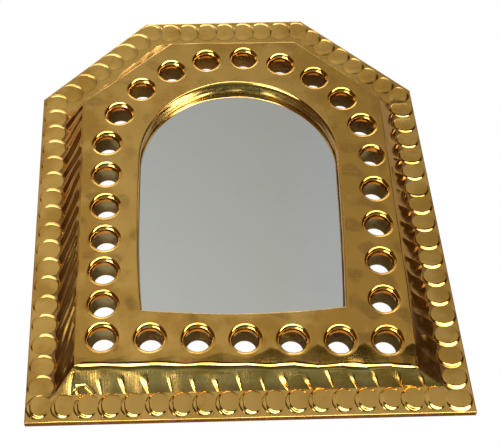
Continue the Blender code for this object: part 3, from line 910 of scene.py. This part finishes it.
def make_rivet(name, centre):
    """A rivet through strap and plate: a domed head behind, a flat one inside."""
    rear = GAP + STRAP + GAP
    front = -SHEET - GAP
    inside = front - SHEET
    profile = []
    for turn in np.linspace(0, math.pi / 2, 10):
        profile.append((RIVET_HEAD_RADIUS * math.sin(turn), rear + RIVET_HEAD * math.cos(turn)))
    profile += [(RIVET_RADIUS, rear), (RIVET_RADIUS, front), (RIVET_HEAD_RADIUS, front)]
    profile.append((RIVET_HEAD_RADIUS, inside + RIVET_BEVEL))
    profile.append((RIVET_HEAD_RADIUS - RIVET_BEVEL, inside))
    profile.append((0.0, inside))
    skin = Skin()
    rows = []
    for radius, y in profile:
        flat = arc(centre, radius, np.linspace(0, 2 * math.pi, 33)[:-1])
        darkened = 0.6 * float(smoothstep(0.7, 1.0, radius / RIVET_HEAD_RADIUS))
        rows.append(skin.add(flat, y, tarnish=darkened))
    skin.rows(rows)
    return skin.build(name)


def dressed(obj, node, material, body="frame"):
    """Puts a piece in the place of its plain node, with a material and a body."""
    obj.data.materials.clear()
    obj.data.materials.append(material)
    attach(obj, body)
    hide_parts(node)


# The colour of tarnished brass, also used for painted shade
TARNISH_AND_SHADE_COLOUR = (0.22, 0.095, 0.03)

# Places of a colour Mix node's sockets
MIX_FIRST, MIX_SECOND, MIX_RESULT = 6, 7, 2


class Nodes:
    """Short ways to add and join shader nodes in one tree."""

    def __init__(self, tree):
        self.tree = tree

    def new(self, kind, **settings):
        item = self.tree.nodes.new("ShaderNode" + kind)
        for name, value in settings.items():
            setattr(item, name, value)
        return item

    def fill(self, socket, value):
        if isinstance(value, bpy.types.NodeSocket):
            self.tree.links.new(value, socket)
        elif isinstance(value, tuple) and len(value) == 3 and socket.type == "RGBA":
            socket.default_value = (*value, 1)
        else:
            socket.default_value = value

    def math(self, operation, *values):
        item = self.new("Math", operation=operation)
        for socket, value in zip(item.inputs, values):
            self.fill(socket, value)
        return item.outputs[0]

    def times(self, first, second):
        return self.math("MULTIPLY", first, second)

    def plus(self, first, second):
        return self.math("ADD", first, second)

    def times_plus(self, first, second, third):
        return self.math("MULTIPLY_ADD", first, second, third)

    def mix(self, factor, first, second, blend="MIX"):
        item = self.new("Mix", data_type="RGBA", blend_type=blend)
        self.fill(item.inputs[0], factor)
        self.fill(item.inputs[MIX_FIRST], first)
        self.fill(item.inputs[MIX_SECOND], second)
        return item.outputs[MIX_RESULT]

    def step(self, value, low, high, start=0.0, end=1.0):
        item = self.new("MapRange", interpolation_type="SMOOTHSTEP")
        for socket, filling in zip(item.inputs, (value, low, high, start, end)):
            self.fill(socket, filling)
        return item.outputs[0]

    def ramp(self, value, stops):
        item = self.new("ValToRGB")
        elements = item.color_ramp.elements
        while len(elements) > 1:
            elements.remove(elements[-1])
        for index, (position, colour) in enumerate(stops):
            element = elements[0] if index == 0 else elements.new(position)
            element.position = position
            element.color = (*colour, 1)
        self.fill(item.inputs[0], value)
        return item.outputs[0]

    def noise(self, place, scale, detail=3.0, roughness=0.5):
        item = self.new("TexNoise")
        self.fill(item.inputs["Vector"], place)
        self.fill(item.inputs["Scale"], scale)
        self.fill(item.inputs["Detail"], detail)
        self.fill(item.inputs["Roughness"], roughness)
        return item.outputs["Fac"]

    def stretched(self, place, scale, turn=(0, 0, 0)):
        item = self.new("Mapping")
        self.fill(item.inputs["Vector"], place)
        self.fill(item.inputs["Rotation"], turn)
        self.fill(item.inputs["Scale"], scale)
        return item.outputs[0]


def stains_and_side_shade(nodes, place, stain):
    """How dull the sheet is: with stains, and more at its sides and at the panel's top and bottom; on
    the right side the dulling is painted shade.
    """
    axes = nodes.new("SeparateXYZ")
    nodes.fill(axes.inputs[0], place)
    x, y, z = axes.outputs
    # Painted shade: the right side, above its bottom, is made duller
    right = nodes.times(nodes.step(x, 0.02, 0.12), nodes.step(z, -0.205, -0.19))
    left = nodes.times(nodes.step(x, -0.11, -0.14), 0.7)
    sides = nodes.plus(right, left)
    top, bottom = nodes.step(z, 0.150, 0.190), nodes.step(z, -0.125, -0.155, 0.0, 0.8)
    darkened = nodes.math("MAXIMUM", sides, nodes.plus(top, bottom))
    on_panel = nodes.step(y, -0.016, -0.021)
    stain_and_sides = nodes.times_plus(sides, 0.15, stain)
    return nodes.times_plus(nodes.times(darkened, on_panel), 0.16, stain_and_sides)


def metal(name, bright, dull, roughness, coat, grain, metallic=1.0):
    """Hand-polished sheet: stains, tarnished and painted-shade darkening, fine brushing, and small
    pits.
    """
    material = bpy.data.materials.new(name)
    material.use_nodes = True
    nodes = Nodes(material.node_tree)
    shader = material.node_tree.nodes["Principled BSDF"]
    place = nodes.new("TexCoord").outputs["Object"]
    stain = nodes.noise(place, 28.0, 5.0, 0.6)
    fine = nodes.noise(place, 240.0, 3.0, 0.6)
    stain_and_shade = nodes.step(stains_and_side_shade(nodes, place, stain), 0.50, 0.74)
    tarnish = nodes.new("Attribute", attribute_name="tarnish").outputs["Fac"]
    brush = nodes.new("Attribute", attribute_name="brush").outputs["Fac"]
    polish = nodes.new("Attribute", attribute_name="polish").outputs["Fac"]
    colour = nodes.mix(stain_and_shade, bright, dull)
    darker = nodes.times(tarnish, nodes.step(fine, 0.25, 0.60, 0.5, 0.95))
    nodes.fill(shader.inputs["Base Color"], nodes.mix(darker, colour, TARNISH_AND_SHADE_COLOUR))
    shader.inputs["Metallic"].default_value = metallic
    blotch = nodes.plus(nodes.times(stain, 0.7), nodes.times(fine, 0.3))
    rough = nodes.step(blotch, 0.30, 0.72, *roughness)
    rough = nodes.plus(rough, nodes.times(brush, 0.06))
    rough = nodes.plus(rough, nodes.times(tarnish, 0.28))
    rough = nodes.times(rough, nodes.times_plus(polish, -0.6, 1.0))
    nodes.fill(shader.inputs["Roughness"], rough)
    shader.inputs["Coat Weight"].default_value = coat
    shader.inputs["Coat Roughness"].default_value = 0.06
    brushed = nodes.stretched(place, (28.0, 28.0, 420.0), (0.0, 0.45, 0.0))
    lines = nodes.noise(brushed, 1.0, 2.0, 0.6)
    crossed = nodes.stretched(place, (1100.0, 70.0, 50.0), (0.0, 0.35, 0.0))
    lines = nodes.plus(lines, nodes.noise(crossed, 1.0, 2.0, 0.6))
    bumps = nodes.new("Bump")
    nodes.fill(bumps.inputs["Strength"], nodes.times_plus(brush, 0.25, grain))
    bumps.inputs["Distance"].default_value = 0.0002
    nodes.fill(bumps.inputs["Height"], nodes.plus(lines, nodes.times(fine, 1.2)))
    nodes.fill(shader.inputs["Normal"], bumps.outputs[0])
    return material


def rough_stuff(name, light, dark, scale):
    """A dull surface with a fine, uneven colour."""
    material = bpy.data.materials.new(name)
    material.use_nodes = True
    nodes = Nodes(material.node_tree)
    shader = material.node_tree.nodes["Principled BSDF"]
    place = nodes.new("TexCoord").outputs["Object"]
    fleck = nodes.noise(place, scale, 6.0, 0.65)
    nodes.fill(shader.inputs["Base Color"], nodes.mix(nodes.step(fleck, 0.35, 0.70), light, dark))
    shader.inputs["Roughness"].default_value = 0.9
    return material


card = rough_stuff("card", (0.42, 0.33, 0.23), (0.32, 0.245, 0.165), 220.0)
brass = metal("worked_brass", (0.95, 0.56, 0.135), (0.73, 0.39, 0.068), (0.10, 0.22), 0.3, 0.06)
back_brass = metal(
    "flat_brass", (0.95, 0.70, 0.22), (0.74, 0.52, 0.15), (0.32, 0.5), 0.0, 0.15, metallic=0.25
)
inner_brass_painted_light = metal(
    "inner_brass_painted_light", (0.96, 0.80, 0.36), (0.84, 0.68, 0.27), (0.24, 0.36), 0.0, 0.10, metallic=0.45
)
lining_brass = metal("lining_brass", (0.95, 0.62, 0.16), (0.68, 0.42, 0.11), (0.20, 0.32), 0.1, 0.05)
hanger_brass = metal("hanger_brass", (0.66, 0.47, 0.19), (0.45, 0.31, 0.12), (0.28, 0.45), 0.0, 0.2)
mirror = metal("mirror", (0.97, 0.975, 0.955), (0.95, 0.955, 0.94), (0.015, 0.03), 0.0, 0.0)

dressed(make_face(), "face_sheet", brass)
whole = np.arange(len(window))
sill_strip = make_lining("sill_strip", whole[: sill_end + 1])
dressed(sill_strip, "sill_lining", lining_brass)
arch_strip = make_lining("arch_strip", np.concatenate((whole[sill_end:], whole[:1])))
dressed(arch_strip, "arch_lining", lining_brass)
back_sheet = make_back_plate()
dressed(back_sheet, "back_plate", back_brass)
# The side towards the face has a lighter colour as painted light, and mirrors the holes next to the
# one looked through
back_sheet.data.materials.append(inner_brass_painted_light)
for polygon in back_sheet.data.polygons:
    polygon.material_index = int(polygon.normal.y < -0.5)
dressed(make_strap(), "hanger_strap", hanger_brass)
dressed(make_ring(), "hanger_ring", hanger_brass, "ring")
for number, side in ((1, -1), (2, 1)):
    place = np.array((side * RIVET_SPACING / 2, RING_AXIS_Z - RIVET_DROP))
    rivet = make_rivet(f"rivet_head_{number}", place)
    dressed(rivet, f"hanger_rivet_{number}", hanger_brass)
finishes = {"backing_card": card, "mirror_glass": mirror}
for name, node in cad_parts.items():
    if name.startswith("glass_clip") or name in finishes:
        node.data.materials.clear()
        node.data.materials.append(finishes.get(name, back_brass))


# Stage, and the camera as worked out from the photograph
FLOOR_SIZE = 25
FLOOR_LEVEL = -0.80
PHOTO_WIDTH = 500
FOCAL_PIXELS = 1013.05
SENSOR_WIDTH = 36
CAMERA_PLACE = (-0.05656, -0.79449, -0.57855)
CAMERA_AXES = (
    (0.99694, 0.03467, -0.07001),
    (-0.03797, -0.56820, -0.82201),
    (-0.06828, 0.82216, -0.56515),
)


def make_world():
    """A plain studio: a dull ceiling in front, soft lights low and overhead, and dark sides."""
    world = bpy.data.worlds.new("studio")
    bpy.context.scene.world = world
    world.use_nodes = True
    world.node_tree.nodes.clear()
    nodes = Nodes(world.node_tree)
    axes = nodes.new("SeparateXYZ")
    nodes.fill(axes.inputs[0], nodes.new("TexCoord").outputs["Generated"])
    x, y, z = axes.outputs
    # Turn of a direction about X: 0.5 straight to the front, 0.75 up, 0.25 down
    turn = nodes.math("ARCTAN2", z, nodes.times(y, -1.0))
    turn = nodes.times_plus(turn, 0.5 / math.pi, 0.5)

    def at(degrees):
        return degrees / 360 + 0.5

    def grey(value):
        return (value, value * 1.02, value * 0.98)

    def window(value, low, high, soft):
        """1 between low and high, 0 outside."""
        rise = nodes.step(value, low - soft, low)
        return nodes.times(rise, nodes.step(value, high + soft, high))

    stops = (
        (-180, grey(0.42)),
        (-165, (0.50, 0.34, 0.20)),
        (-150, (0.60, 0.33, 0.14)),
        (-135, (0.60, 0.33, 0.14)),
        (-115, (0.26, 0.20, 0.13)),
        (-89, (0.16, 0.17, 0.12)),
        (-80, (0.10, 0.12, 0.08)),
        (-72, (0.24, 0.33, 0.40)),
        (-63, (0.27, 0.37, 0.45)),
        (-56, (0.12, 0.16, 0.16)),
        (-46, (0.10, 0.13, 0.13)),
        (-38, grey(0.06)),
        (5, grey(0.05)),
        (11, grey(0.42)),
        (20, grey(0.46)),
        (29, grey(0.45)),
        (41, grey(0.37)),
        (52, grey(0.36)),
        (92, grey(0.50)),
        (120, grey(0.44)),
        (179, grey(0.42)),
    )
    room = nodes.ramp(turn, [(at(degrees), colour) for degrees, colour in stops])
    tint = nodes.ramp(
        nodes.plus(x, 0.5),
        (
            (0.40, (1.06, 1.06, 1.06)),
            (0.60, (0.92, 0.90, 0.86)),
            (0.69, (0.90, 0.92, 0.98)),
            (0.80, (0.84, 0.83, 0.80)),
        ),
    )
    room = nodes.mix(1.0, room, tint, "MULTIPLY")
    # Dark sides, each with a pale part
    left = nodes.mix(nodes.step(z, 0.38, 0.48), (0.055, 0.028, 0.022), (0.40, 0.33, 0.28))
    left = nodes.mix(nodes.step(y, -0.48, -0.58), left, (0.10, 0.07, 0.05))
    lifted = nodes.times_plus(y, -0.5, z)
    pale = nodes.times(nodes.step(lifted, 0.40, 0.47), nodes.step(y, -0.25, -0.12))
    right = nodes.mix(pale, (0.06, 0.034, 0.012), (0.38, 0.36, 0.34))
    room = nodes.mix(nodes.step(x, -0.42, -0.62), room, left)
    room = nodes.mix(nodes.step(x, 0.50, 0.72), room, right)
    # Soft boxes: low in front, high in front, and low on the left
    low = window(z, -0.93, -0.50, 0.05)
    beside = window(y, -0.48, 0.30, 0.05)
    boxes = (
        (window(turn, at(-24), at(-10), 0.010), window(x, -0.30, 0.70, 0.22), 7.0),
        (window(turn, at(62), at(79), 0.008), window(x, -0.18, 0.20, 0.16), 3.4),
        (nodes.step(x, -0.22, -0.50), nodes.times(low, beside), 7.0),
    )
    for across, upright, strength in boxes:
        room = nodes.mix(nodes.times(across, upright), room, grey(strength))
    seen = nodes.new("LightPath").outputs["Is Camera Ray"]
    background = nodes.new("Background")
    nodes.fill(background.inputs["Color"], nodes.mix(seen, room, (1.0, 1.0, 1.0)))
    output = nodes.new("OutputWorld")
    nodes.fill(output.inputs[0], background.outputs[0])


make_world()


def make_floor():
    """A wide pale floor below the mirror, which the metal does not mirror."""
    bm = bmesh.new()
    bmesh.ops.create_grid(bm, x_segments=1, y_segments=1, size=FLOOR_SIZE)
    mesh = bpy.data.meshes.new("floor")
    bm.to_mesh(mesh)
    bm.free()
    floor = bpy.data.objects.new("floor", mesh)
    floor.location.z = FLOOR_LEVEL
    bpy.context.scene.collection.objects.link(floor)
    material = rough_stuff("floor", (0.90, 0.90, 0.88), (0.86, 0.86, 0.84), 30.0)
    mesh.materials.append(material)
    floor.visible_glossy = False


make_floor()

camera_data = bpy.data.cameras.new("camera")
camera_data.sensor_width = SENSOR_WIDTH
camera_data.lens = FOCAL_PIXELS / PHOTO_WIDTH * SENSOR_WIDTH
camera = bpy.data.objects.new("camera", camera_data)
bpy.context.scene.collection.objects.link(camera)
camera.matrix_world = Matrix.Translation(CAMERA_PLACE) @ Matrix(CAMERA_AXES).to_4x4()
bpy.context.scene.camera = camera
bpy.context.scene.view_settings.view_transform = "Standard"
